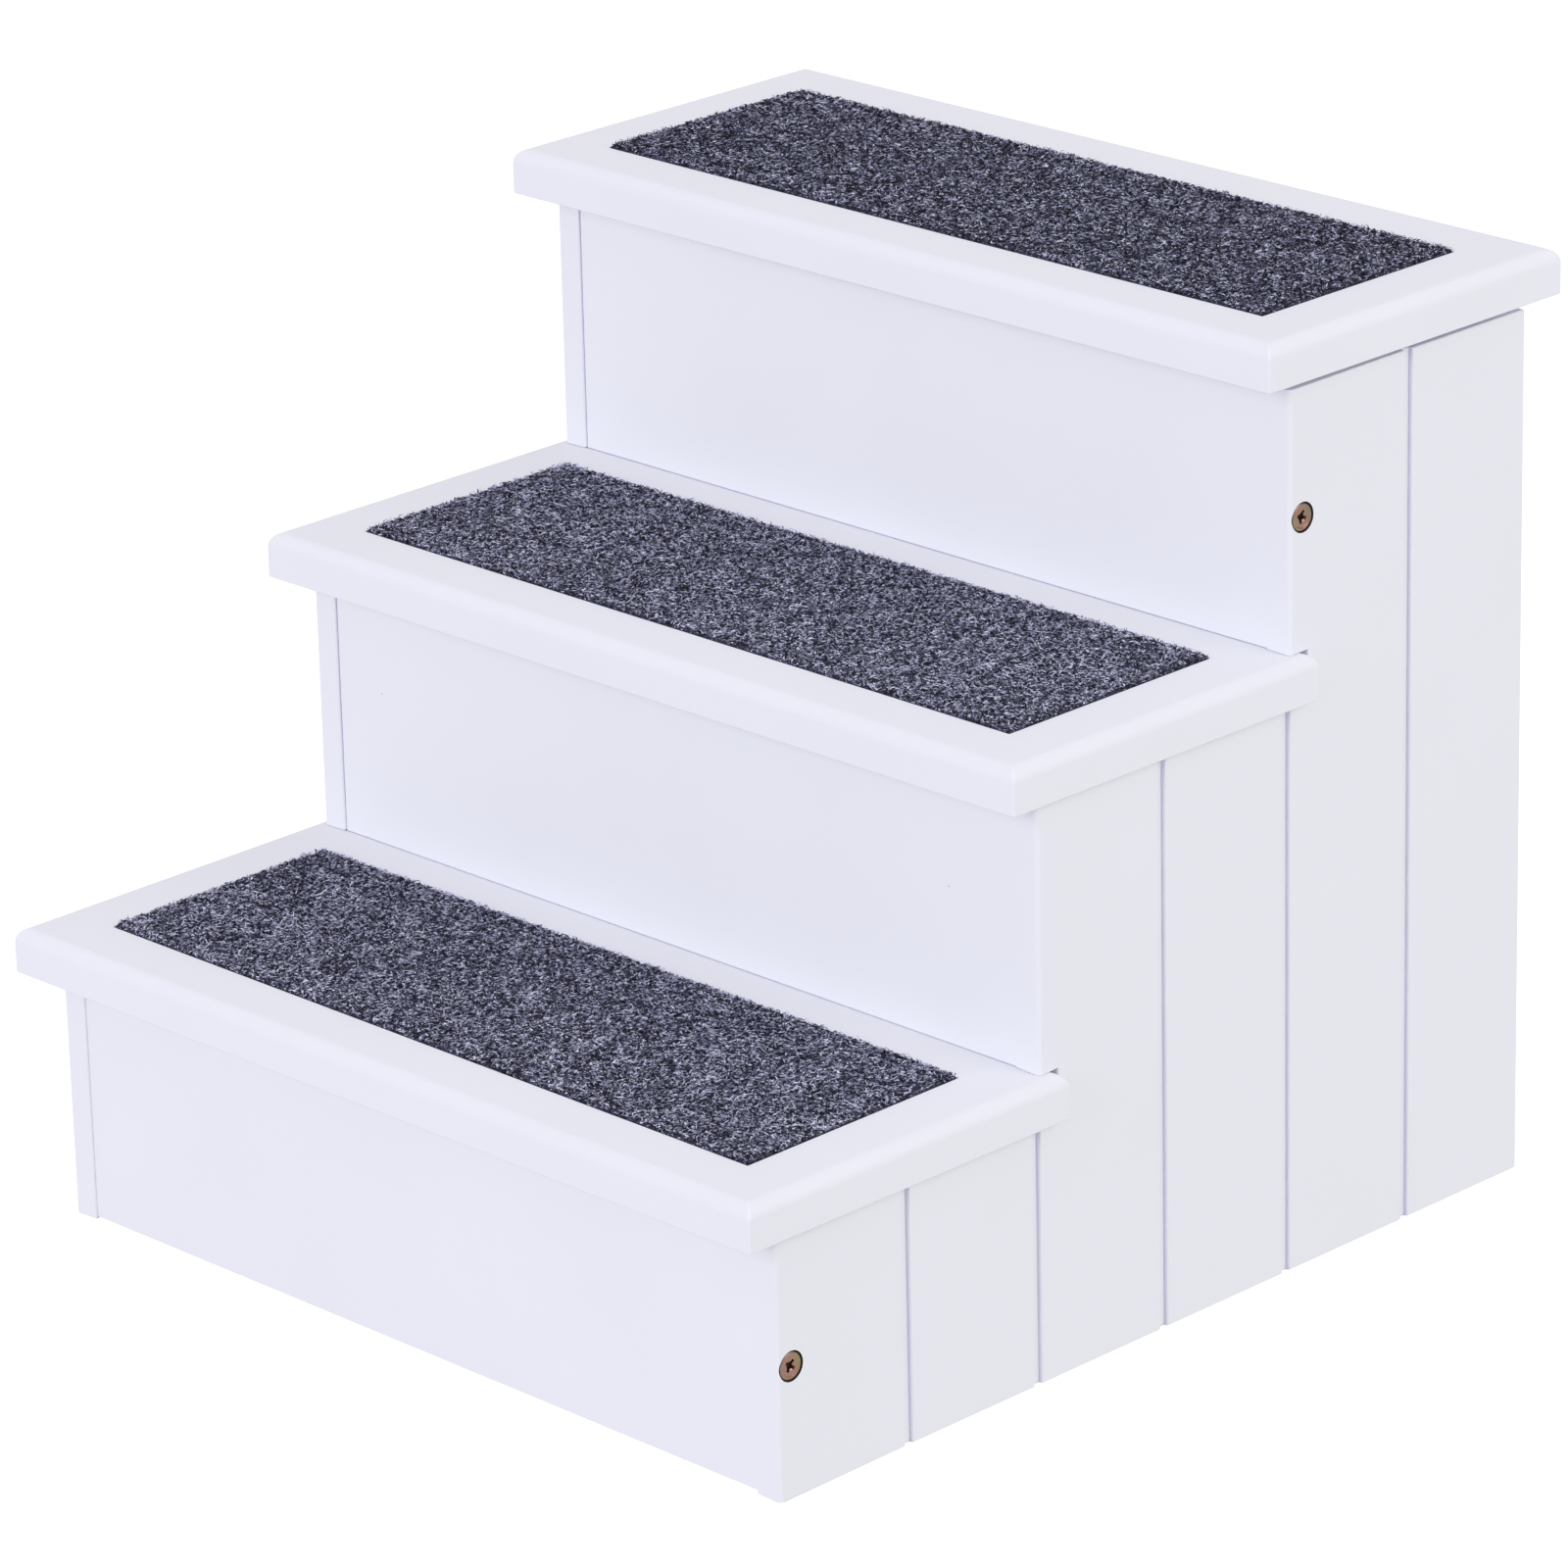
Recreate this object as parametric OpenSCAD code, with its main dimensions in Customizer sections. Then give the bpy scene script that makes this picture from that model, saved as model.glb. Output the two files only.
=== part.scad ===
// Pet stairs: three carpeted treads and three risers between two side panels of tongued boards.
// Lengths are millimetres. The origin is on the floor, in the middle of the space the stairs take.
// +Z is up, the lowest step faces -Y, and +X is the right side of someone who looks along +Y.

/* [Steps] */
// Height of the lowest tread's top above the floor
first_rise = 122.5; // [100:0.5:150]
// Height from one tread's top to the next one's
rise = 125; // [105:0.5:150]
// Depth from one step's front to the next one's
run = 137; // [120:1:180]
// How far a tread stands out in front of its step
nose = 18; // [8:0.5:30]
// How far a tread's back edge reaches in under the next step
tuck = 10; // [6:0.5:12]

/* [Treads] */
// Width of a tread, which is the width of the stairs
tread_w = 400; // [300:1:600]
// Thickness of a tread
tread_t = 18; // [15:0.5:25]
// How far a tread stands out past each side panel
side_lap = 6; // [2:0.5:20]
// Radius of a tread's top edges
edge_r = 5.5; // [2:0.5:8]

/* [Carpets] */
// Bare tread in front of the carpet
front_margin = 27; // [15:0.5:40]
// Bare tread behind the carpet
back_margin = 30; // [20:0.5:45]
// Bare tread at each end of the carpet
side_margin = 27.5; // [15:0.5:60]
// Depth of the sunk bed that holds the carpet
bed_depth = 3; // [1.5:0.1:5]
// Thickness of the carpet's felt
carpet_t = 2.5; // [1:0.1:5]
// Gap all round between the carpet and its bed
carpet_gap = 0.5; // [0.2:0.1:2]

/* [Side boards] */
// Thickness of a side board
board_t = 12; // [10:0.5:18]
// Width of the channel between the faces of two boards
channel_w = 4; // [2:0.5:8]
// Depth of the channel
channel_d = 2; // [1:0.1:3]
// Thickness of a board's tongue
tongue_t = 4; // [2:0.5:5]
// Length of a board's tongue
tongue_l = 6; // [3:0.5:10]
// Radius of a step's front edge on the outer side
front_r = 2; // [0.5:0.5:3]
// Gap left between the tallest boards and the top tread
tall_gap = 4; // [0:0.5:6]

/* [Risers] */
// Thickness of a riser
riser_t = 12; // [12:0.5:18]
// How far a riser's face lies behind the front edges of the side boards
riser_setback = 1; // [0.5:0.1:3]
// Gap between the floor and the lowest riser
floor_gap = 1; // [0.5:0.5:8]
// Gap between a tread and the riser that stands over its back edge
riser_lift = 0.3; // [0:0.1:2]
// Play at the left end of the two upper risers
riser_play = 0.2; // [0:0.1:2]

/* [Cleats] */
// Thickness and height of the cleats and bottom battens
cleat_s = 18; // [14:0.5:25]
// How far a cleat or batten stops short of the back of its boards
cleat_stop = 5; // [0:0.5:20]

/* [Screws and dowels] */
// Diameter of a riser screw
riser_screw_d = 5; // [3.5:0.5:6]
// Length of a riser screw
riser_screw_l = 50; // [30:1:70]
// Diameter of a riser screw's head
riser_head_d = 11; // [8:0.5:11.5]
// Diameter of the round sinking that a riser screw's head lies in
sinking_d = 12; // [11.8:0.1:12.6]
// How deep the heads of the riser screws lie under the boards' faces
head_sink = 0.6; // [0:0.1:1.5]
// Diameter of the screws in the cleats
small_screw_d = 3.5; // [3:0.5:4.5]
// Diameter of those screws' heads
small_head_d = 7; // [6:0.5:8]
// How far a cleat's screw bites into a side board
board_bite = 7; // [4:0.5:9]
// How far a cleat's screw bites into its tread
tread_bite = 11; // [5:0.5:11.5]
// Diameter of the dowels
dowel_d = 6; // [4:0.5:8]
// Length of the dowels
dowel_l = 30; // [20:1:40]
// How far a dowel goes into its side board
dowel_depth = 8; // [5:0.5:9]
// How far a riser's dowels lie in from its top and bottom edges
dowel_inset = 22; // [12:0.5:30]

/* [Hidden] */
// Gap at tongues, at the seams between boards and over the treads' back edges
joint_fit = 0.2;
// Gap all round a screw or a dowel in its hole
hole_fit = 0.1;
// How far a cut runs out past the face it opens
overrun = 1;
// Straight rim of a countersunk head
head_rim = 0.4;
// Length of a screw's point
screw_point = 5;
// Bevel at a dowel's ends
dowel_bevel = 1;
// Cross recess in a screw head, as shares of the head's diameter: length, width and depth
cross_shares = [0.52, 0.13, 0.22];
// Places of the two tread screws along a cleat, as shares of its length
tread_screw_shares = [0.4, 0.9];
// Height of a riser screw above its riser's bottom edge, as a share of the riser's height
riser_screw_share = 0.49;

steps = 3;
boards_per_step = 2;
boards = steps * boards_per_step;
pitch = run / boards_per_step;
board_face = pitch - channel_w;
panel_d = boards * pitch - channel_w;
tread_d = nose + run + tuck;
overall_d = (steps - 1) * run + tread_d;
front_y = nose - overall_d / 2;
half_outer = tread_w / 2 - side_lap;
half_inner = half_outer - board_t;
bed_w = tread_w - 2 * side_margin;
bed_d = tread_d - front_margin - back_margin;
riser_middle = riser_setback + riser_t / 2;
riser_back = riser_setback + riser_t;
cleat_l = run - channel_w - riser_back - cleat_stop;
batten_l = panel_d - riser_back - cleat_stop;
cleat_x = half_inner - cleat_s / 2;

paint = [0.91, 0.91, 0.95];
pine = [0.84, 0.71, 0.50];
felt = [0.21, 0.21, 0.24];
zinc = [0.66, 0.56, 0.38];

$fn = 64;

// Steps are counted from 0 at the bottom, and boards from 0 at the front.
function step_y(step) = front_y + step * run;
function top_z(step) = first_rise + step * rise;
function under_z(step) = top_z(step) - tread_t;
function riser_low(step) = step == 0 ? floor_gap : top_z(step - 1) + riser_lift;
function riser_h(step) = under_z(step) - riser_low(step);
function riser_screw_z(step) = riser_low(step) + riser_screw_share * riser_h(step);
function board_y(board) = front_y + board * pitch;
function board_middle(board) = board_y(board) + board_face / 2;
function step_of(board) = floor(board / boards_per_step);
function starts_step(board) = board % boards_per_step == 0;
function board_top(board) =
    under_z(step_of(board)) - (step_of(board) == steps - 1 ? tall_gap : 0);

// The left side is the right side seen in a mirror.
module left() {
    mirror([1, 0, 0]) children();
}

module both_sides() {
    children();
    left() children();
}

// A countersunk screw with its head's top at the origin and its point down
module screw(d, l, head_d) {
    cone = (head_d - d) / 2;
    difference() {
        rotate_extrude()
            polygon([
                [0, 0], [head_d / 2, 0], [head_d / 2, -head_rim], [d / 2, -head_rim - cone],
                [d / 2, screw_point - l], [0, -l],
            ]);
        for (turn = [0, 90])
            rotate(turn)
                translate([
                    -head_d * cross_shares[0] / 2,
                    -head_d * cross_shares[1] / 2,
                    -head_d * cross_shares[2],
                ])
                    cube([
                        head_d * cross_shares[0],
                        head_d * cross_shares[1],
                        head_d * cross_shares[2] + overrun,
                    ]);
    }
}

// The hole for that screw, whose head lies in a round sinking
module screw_hole(d, l, head_d, sink_d, sink) {
    cone = (head_d - d) / 2;
    rotate_extrude()
        polygon([
            [0, sink + overrun], [sink_d / 2, sink + overrun], [sink_d / 2, -head_rim],
            [head_d / 2 + hole_fit, -head_rim], [d / 2 + hole_fit, -head_rim - cone],
            [d / 2 + hole_fit, -l - hole_fit], [0, -l - hole_fit],
        ]);
}

// Places on the right side. A screw there points inwards, outwards or up.
module riser_screw_place(step) {
    translate([half_outer - head_sink, step_y(step) + riser_middle, riser_screw_z(step)])
        rotate([0, 90, 0]) children();
}

module cleat_screw_place(board, z) {
    translate([half_inner - cleat_s, board_middle(board), z + cleat_s / 2])
        rotate([0, -90, 0]) children();
}

module tread_screw_places(step) {
    for (share = tread_screw_shares)
        translate([
            cleat_x,
            step_y(step) + riser_back + share * cleat_l,
            under_z(step) - cleat_s,
        ])
            rotate([180, 0, 0]) children();
}

module dowel_places(step) {
    for (z = [riser_low(step) + dowel_inset, under_z(step) - dowel_inset])
        translate([half_inner + dowel_depth, step_y(step) + riser_middle, z])
            rotate([0, -90, 0]) children();
}

module riser_screw_holes() {
    for (step = [0, steps - 1])
        riser_screw_place(step)
            screw_hole(riser_screw_d, riser_screw_l, riser_head_d, sinking_d, head_sink);
}

module dowel_holes() {
    for (step = [0:steps - 1])
        dowel_places(step)
            translate([0, 0, -hole_fit])
                cylinder(d = dowel_d + 2 * hole_fit, h = dowel_l + 2 * hole_fit);
}

module small_screw_hole(bite) {
    screw_hole(small_screw_d, cleat_s + bite, small_head_d, small_head_d + 2 * hole_fit, 0);
}

module cleat_screw_holes() {
    for (board = [0:boards - 1]) {
        cleat_screw_place(board, floor_gap) small_screw_hole(board_bite);
        cleat_screw_place(board, under_z(step_of(board)) - cleat_s) small_screw_hole(board_bite);
    }
}

module tread_screw_holes() {
    for (step = [0:steps - 1])
        tread_screw_places(step) small_screw_hole(tread_bite);
}

// A section whose two upper corners are rounded
module round_topped_section(w, t, r) {
    square([w, t - r]);
    translate([r, 0]) square([w - 2 * r, t]);
    for (x = [r, w - r]) translate([x, t - r]) circle(r);
}

// A block whose four top edges are rounded, and meet in a mitre over its upright corners
module round_topped_block(w, d, t, r) {
    intersection() {
        translate([0, d, 0])
            rotate([90, 0, 0]) linear_extrude(d) round_topped_section(w, t, r);
        rotate([90, 0, 90]) linear_extrude(w) round_topped_section(d, t, r);
    }
}

module tread(step) {
    color(paint)
        difference() {
            translate([-tread_w / 2, step_y(step) - nose, under_z(step)])
                round_topped_block(tread_w, tread_d, tread_t, edge_r);
            translate([
                -bed_w / 2,
                step_y(step) - nose + front_margin,
                top_z(step) - bed_depth,
            ])
                cube([bed_w, bed_d, bed_depth + overrun]);
            both_sides() tread_screw_places(step) small_screw_hole(tread_bite);
        }
}

module carpet(step) {
    color(felt)
        translate([
            carpet_gap - bed_w / 2,
            step_y(step) - nose + front_margin + carpet_gap,
            top_z(step) - bed_depth,
        ])
            cube([bed_w - 2 * carpet_gap, bed_d - 2 * carpet_gap, carpet_t]);
}

module riser(step) {
    play = step == 0 ? 0 : riser_play;
    color(paint)
        difference() {
            translate([play - half_inner, step_y(step) + riser_setback, riser_low(step)])
                cube([2 * half_inner - play, riser_t, riser_h(step)]);
            both_sides() {
                riser_screw_holes();
                dowel_holes();
            }
        }
}

// Plans of a right side board, with the outer face on x = 0 and the front edge on y = 0
module groove_plan() {
    translate([-(board_t + tongue_t + joint_fit) / 2, board_face - tongue_l - joint_fit])
        square([tongue_t + joint_fit, tongue_l + joint_fit + overrun]);
}

module tongued_plan() {
    translate([-board_t, 0]) square([board_t, board_face]);
    translate([-board_t, joint_fit - channel_w])
        square([board_t - channel_d, channel_w - joint_fit]);
    translate([-(board_t + tongue_t) / 2, -channel_w - tongue_l])
        square([tongue_t, channel_w + tongue_l]);
}

module front_plan() {
    translate([-board_t, 0]) square([board_t - front_r, board_face]);
    translate([-board_t, front_r]) square([board_t, board_face - front_r]);
    translate([-front_r, front_r]) circle(front_r);
}

module housed_plan() {
    translate([-board_t, tuck + joint_fit]) square([board_t, board_face - tuck - joint_fit]);
}

// One layer of a board, from one height to another, with its back edge grooved for the next
module layer(low, high, grooved) {
    translate([0, 0, low])
        linear_extrude(high - low)
            difference() {
                children();
                if (grooved) groove_plan();
            }
}

// A board that starts an upper step is tongued below the tread it houses and plain above it.
module board_blank(board) {
    step = step_of(board);
    grooved = board < boards - 1;
    housed = under_z(step - 1);
    clear = top_z(step - 1) + joint_fit;
    if (!starts_step(board)) {
        layer(0, board_top(board), grooved) tongued_plan();
    } else if (step == 0) {
        layer(0, board_top(board), grooved) front_plan();
    } else {
        layer(0, housed, grooved) tongued_plan();
        layer(housed, clear, grooved) housed_plan();
        layer(clear, board_top(board), grooved) front_plan();
    }
}

module right_board(board) {
    color(paint)
        difference() {
            translate([half_outer, board_y(board), 0]) board_blank(board);
            riser_screw_holes();
            dowel_holes();
            cleat_screw_holes();
        }
}

module cleat_bar(y, z, l) {
    color(pine)
        difference() {
            translate([half_inner - cleat_s, y, z]) cube([cleat_s, l, cleat_s]);
            cleat_screw_holes();
            tread_screw_holes();
        }
}

module right_cleat(step) {
    cleat_bar(step_y(step) + riser_back, under_z(step) - cleat_s, cleat_l);
}

module right_batten() {
    cleat_bar(front_y + riser_back, floor_gap, batten_l);
}

module left_board(board) {
    left() right_board(board);
}

module left_cleat(step) {
    left() right_cleat(step);
}

module left_batten() {
    left() right_batten();
}

module riser_screws() {
    color(zinc)
        both_sides()
            for (step = [0, steps - 1])
                riser_screw_place(step) screw(riser_screw_d, riser_screw_l, riser_head_d);
}

module riser_dowels() {
    color(pine)
        both_sides()
            for (step = [0:steps - 1])
                dowel_places(step)
                    rotate_extrude()
                        polygon([
                            [0, 0], [dowel_d / 2 - dowel_bevel, 0], [dowel_d / 2, dowel_bevel],
                            [dowel_d / 2, dowel_l - dowel_bevel],
                            [dowel_d / 2 - dowel_bevel, dowel_l], [0, dowel_l],
                        ]);
}

module cleat_screws() {
    color(zinc)
        both_sides()
            for (board = [0:boards - 1], z = [floor_gap, under_z(step_of(board)) - cleat_s])
                cleat_screw_place(board, z)
                    screw(small_screw_d, cleat_s + board_bite, small_head_d);
}

module tread_screws() {
    color(zinc)
        both_sides()
            for (step = [0:steps - 1])
                tread_screw_places(step)
                    screw(small_screw_d, cleat_s + tread_bite, small_head_d);
}

for (step = [0:steps - 1]) {
    tread(step);
    carpet(step);
    riser(step);
    right_cleat(step);
    left_cleat(step);
}
for (board = [0:boards - 1]) {
    right_board(board);
    left_board(board);
}
right_batten();
left_batten();
riser_screws();
riser_dowels();
cleat_screws();
tread_screws();
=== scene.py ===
# %% [markdown]
# # Pet stairs, dressed in Blender
#
# Three carpeted steps for a small pet: white painted wood, felt let into each tread, and a few
# zinc plated screws. The solids come from a CAD model and are loaded first. They say where each
# piece lies and how large it is. Everything after that is about looks: rounded edges, paint,
# felt, bare wood and metal.
#
# The camera looks as the photographer did, and a pale floor and soft light stand for the studio.

import math

import bmesh
import bpy
from mathutils import Matrix, Vector


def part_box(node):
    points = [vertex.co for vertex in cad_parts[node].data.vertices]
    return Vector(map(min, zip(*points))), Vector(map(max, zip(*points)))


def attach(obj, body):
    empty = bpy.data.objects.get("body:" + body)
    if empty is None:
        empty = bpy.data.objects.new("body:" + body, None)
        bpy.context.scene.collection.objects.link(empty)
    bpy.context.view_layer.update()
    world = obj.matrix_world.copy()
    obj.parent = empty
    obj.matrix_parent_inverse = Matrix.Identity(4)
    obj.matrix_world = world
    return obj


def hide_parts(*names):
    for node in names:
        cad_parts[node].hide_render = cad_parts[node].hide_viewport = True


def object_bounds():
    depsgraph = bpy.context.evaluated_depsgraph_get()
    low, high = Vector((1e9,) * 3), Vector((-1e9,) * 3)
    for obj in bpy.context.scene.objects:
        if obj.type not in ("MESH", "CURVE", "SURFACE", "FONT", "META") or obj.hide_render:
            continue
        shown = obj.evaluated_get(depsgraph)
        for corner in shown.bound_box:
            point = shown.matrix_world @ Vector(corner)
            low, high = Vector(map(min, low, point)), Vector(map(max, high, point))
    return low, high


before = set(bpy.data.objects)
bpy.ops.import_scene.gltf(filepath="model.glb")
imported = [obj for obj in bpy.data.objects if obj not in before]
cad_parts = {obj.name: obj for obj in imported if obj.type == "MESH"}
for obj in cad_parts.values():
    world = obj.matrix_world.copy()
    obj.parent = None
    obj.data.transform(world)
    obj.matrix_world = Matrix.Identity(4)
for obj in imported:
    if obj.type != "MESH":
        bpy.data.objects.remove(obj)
solids_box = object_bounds()
solids_size = [round(v, 4) for v in (solids_box[1] - solids_box[0])]
print("solids:", len(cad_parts), "box:", solids_size, "m")

# %% [markdown]
# ## Sizes
#
# Blender counts in metres, but a joiner thinks in millimetres, so MM turns one into the other.
# The sizes that the solids already hold are read from their boxes and never typed again. What is
# typed here is what a solid leaves out, such as how much an edge is eased by sanding.

# %% Millimetres, and the sizes of the finish
MM = 0.001

TREAD_EDGE = 5.5 * MM  # rounding of a tread's top edges
TREAD_CORNER = 1.0 * MM  # its upright corners are only broken
TREAD_FOOT = 0.6 * MM  # eased lower edges of a tread
BED_EDGE = 0.5 * MM  # eased rim of the sunk bed
BED_DEPTH = 3.0 * MM
BED_GAP = 0.5 * MM  # between a carpet and its bed
RISER_EDGE = 0.35 * MM
BOARD_EDGE = 0.8 * MM
CLEAT_EDGE = 0.8 * MM
STEPS = range(1, 4)
BOARDS = range(1, 7)
SIDES = (("right", 1), ("left", -1))
WELD = 0.002 * MM  # points nearer than this become one


def new_object(name, data):
    """An object in the scene, at the origin."""
    made = bpy.data.objects.new(name, data)
    bpy.context.scene.collection.objects.link(made)
    return made


def box_of(node):
    """The lowest and highest corner of a solid, as plain lists."""
    low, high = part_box(node)
    return list(low), list(high)


for step in STEPS:
    low, high = box_of(f"tread_{step}")
    print("tread", step, "is", [round((b - a) / MM, 1) for a, b in zip(low, high)], "mm")

# %% [markdown]
# ## Camera
#
# The photograph was taken with a long lens from the front right, a little above the stairs. Its
# place, aim and lens were worked out from the straight edges in the picture, whose real
# directions are known. The numbers are typed in as they came out of that fit. A matrix turns the
# camera: its directions right, up and back follow from the compass angle, the height angle and a
# slight roll.

# %% The camera of the photograph
SENSOR = 36.0  # mm
FOCAL_SHARE = 7996.4948 / 1600.0  # focal length over the picture's width
CAMERA_PLACE = Vector((1.99975, -1.97191, 1.22193))
AZIMUTH, ELEVATION, ROLL = (math.radians(v) for v in (45.3989, 20.5406, 1.3692))


def camera_axes(azimuth, elevation, roll):
    """The camera's right, up and back directions. Azimuth 0 looks along +Y."""
    right = Vector((math.cos(azimuth), math.sin(azimuth), 0.0))
    back = Vector((
        math.sin(azimuth) * math.cos(elevation),
        -math.cos(azimuth) * math.cos(elevation),
        math.sin(elevation),
    ))
    down = (-back).cross(right)
    return (
        right * math.cos(roll) + down * math.sin(roll),
        right * math.sin(roll) - down * math.cos(roll),
        back,
    )


camera_data = bpy.data.cameras.new("photo_camera")
camera_data.sensor_width = SENSOR
camera_data.lens = SENSOR * FOCAL_SHARE
camera_data.clip_start, camera_data.clip_end = 0.05, 50.0
camera = new_object("photo_camera", camera_data)
turned = Matrix(camera_axes(AZIMUTH, ELEVATION, ROLL)).transposed().to_4x4()
camera.matrix_world = Matrix.Translation(CAMERA_PLACE) @ turned
bpy.context.scene.camera = camera
print("lens", round(camera_data.lens, 1), "mm on a", SENSOR, "mm sensor")

# %% [markdown]
# ## Colours and nodes
#
# Colours are written as sRGB hex values, as a paint chart shows them. Shaders count in linear
# light, so one function converts them. A second function adds a node to any tree: it takes the
# node's settings and its inputs, and an input is either a plain value or the output of another
# node. A few short ones on top of it say what comes up again and again: noise, a sum, a bump.

# %% Helpers for colours and node trees


def linear(hex_code):
    """An sRGB hex colour as the linear RGBA that nodes take."""
    parts = [int(hex_code[i : i + 2], 16) / 255 for i in (1, 3, 5)]
    return [v / 12.92 if v <= 0.04045 else ((v + 0.055) / 1.055) ** 2.4 for v in parts] + [1.0]


def add(tree, kind, settings=None, inputs=None):
    """Adds a node. Inputs are named or numbered, and get an output or a plain value."""
    made = tree.nodes.new(kind)
    for key, value in (settings or {}).items():
        setattr(made, key, value)
    for key, value in (inputs or {}).items():
        socket = made.inputs[key]
        if isinstance(value, bpy.types.NodeSocket):
            tree.links.new(value, socket)
        else:
            socket.default_value = value
    return made


def math_of(tree, operation, *values):
    """The result of a Math node on one to three values."""
    made = add(tree, "ShaderNodeMath", {"operation": operation}, dict(enumerate(values)))
    return made.outputs["Value"]


def vector_math_of(tree, operation, *values):
    """The result of a Vector Math node on one to three values."""
    made = add(tree, "ShaderNodeVectorMath", {"operation": operation}, dict(enumerate(values)))
    return made.outputs["Value" if operation == "LENGTH" else "Vector"]


def noise(tree, place, width, detail, roughness=0.5):
    """The outputs of a noise whose patches are about width metres wide."""
    return add(tree, "ShaderNodeTexNoise", None, {
        "Vector": place, "Scale": 1 / width, "Detail": detail, "Roughness": roughness,
    }).outputs


def stretched_noise(tree, place, scales, detail, roughness=0.5):
    """The outputs of a noise with its own scale along X, Y and Z."""
    stretched = add(tree, "ShaderNodeMapping", None, {"Vector": place, "Scale": scales})
    return noise(tree, stretched.outputs["Vector"], 1.0, detail, roughness)


def remap(tree, value, old, new=(0.0, 1.0)):
    """Moves a value from an old range to a new one, and keeps it in there."""
    return add(tree, "ShaderNodeMapRange", None, {
        "Value": value,
        "From Min": old[0], "From Max": old[1], "To Min": new[0], "To Max": new[1],
    }).outputs["Result"]


def dots(tree, place, spacing, radii):
    """1 in small round dots about spacing metres apart, and 0 between them."""
    cells = add(tree, "ShaderNodeTexVoronoi", None, {"Vector": place, "Scale": 1 / spacing})
    return remap(tree, cells.outputs["Distance"], radii, (1.0, 0.0))


def bump(tree, height, distance, under=None):
    """A normal tilted as if height stood distance metres proud, over another one if given."""
    inputs = {"Strength": 1.0, "Distance": distance, "Height": height}
    if under:
        inputs["Normal"] = under
    return add(tree, "ShaderNodeBump", None, inputs).outputs["Normal"]


def mixed(tree, factor, first, second):
    """A colour between first and second."""
    made = add(tree, "ShaderNodeMix", {"data_type": "RGBA"}, {0: factor, 6: first, 7: second})
    return made.outputs[2]


def ramp(tree, factor, stops):
    """Fills a colour ramp with (place, hex colour) stops."""
    made = add(tree, "ShaderNodeValToRGB", None, {"Fac": factor})
    band = made.color_ramp
    while len(band.elements) < len(stops):
        band.elements.new(0.5)
    for element, (place, hex_code) in zip(band.elements, stops):
        element.position, element.color = place, linear(hex_code)
    return made.outputs["Color"]


def new_material(name):
    """An empty node material, with the piece's own coordinates to draw patterns in."""
    material = bpy.data.materials.new(name)
    material.use_nodes = True
    tree = material.node_tree
    tree.nodes.clear()
    coordinates = add(tree, "ShaderNodeTexCoord").outputs["Object"]
    return material, tree, coordinates


def close_material(tree, surface_inputs):
    """Adds the surface shader and the output."""
    shader = add(tree, "ShaderNodeBsdfPrincipled", None, surface_inputs)
    add(tree, "ShaderNodeOutputMaterial", None, {"Surface": shader.outputs["BSDF"]})


# %% [markdown]
# ## Studio
#
# The photograph has a pure white ground without a shadow, and its stairs show hardly any light
# from below: the dark carpets would otherwise darken the risers behind them much more. So the
# floor is a sheet of paper that glows white. It shows to the camera and in the sheen of the
# paint, but it throws no light of its own on the stairs, and lets the light of the tent through.
#
# Light comes from two wide soft boxes and an even pale sky. One box stands low in front, so
# that the noses of the treads cast no shadow that the camera could see. The other stands at the
# right. Where an edge is rounded it catches both boxes, and that thin bright line draws the
# shape of white on white.

# %% Floor, sky and lights
FLOOR_SIDE = 14.0  # m
FLOOR_DROP = 0.05 * MM  # keeps the paper clear of the boards' ends
AIM = Vector((0.0, 0.0, 0.18))
SKY_ABOVE, SKY_BELOW = 0.84, 0.397
SKY_BLEND = 0.3  # the two meet this far over and under the horizon
FLOOR_GLOW = 1.43
MOTTLE_WIDTH = 0.25  # m
# name, degrees round from the front, degrees up, metres away, side in metres, colour, watts
SOFT_BOXES = (
    ("front_soft_box", 4.0, 18.0, 6.0, 3.4, "#E4EAFF", 270.0),
    ("right_soft_box", 108.0, 26.0, 4.6, 2.6, "#F8FCFF", 110.6),
)

floor_mesh = bpy.data.meshes.new("studio_floor")
half = FLOOR_SIDE / 2
floor_mesh.from_pydata(
    [(x, y, -FLOOR_DROP) for x, y in ((-half, -half), (half, -half), (half, half), (-half, half))],
    [],
    [(0, 1, 2, 3)],
)
studio_floor = new_object("studio_floor", floor_mesh)
studio_floor.visible_diffuse = False
studio_floor.visible_shadow = False

floor_paper, tree, coordinates = new_material("white_backdrop_paper")
mottle = noise(tree, coordinates, MOTTLE_WIDTH, 2.0)["Fac"]
close_material(tree, {
    "Base Color": ramp(tree, mottle, [(0.3, "#9A9A9D"), (0.7, "#9E9EA1")]),
    "Roughness": 0.9,
    "Specular IOR Level": 0.1,
    "Emission Color": linear("#FFFFFF"),
    "Emission Strength": FLOOR_GLOW,
})
floor_mesh.materials.append(floor_paper)

world = bpy.data.worlds.new("light_tent")
world.use_nodes = True
tree = world.node_tree
tree.nodes.clear()
towards_sky = add(tree, "ShaderNodeTexCoord").outputs["Generated"]
skyward = add(tree, "ShaderNodeSeparateXYZ", None, {"Vector": towards_sky}).outputs["Z"]
tent = add(tree, "ShaderNodeBackground", None, {
    "Color": linear("#F6F3FF"),
    "Strength": remap(tree, skyward, (-SKY_BLEND, SKY_BLEND), (SKY_BELOW, SKY_ABOVE)),
})
add(tree, "ShaderNodeOutputWorld", None, {"Surface": tent.outputs["Background"]})
bpy.context.scene.world = world

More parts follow.
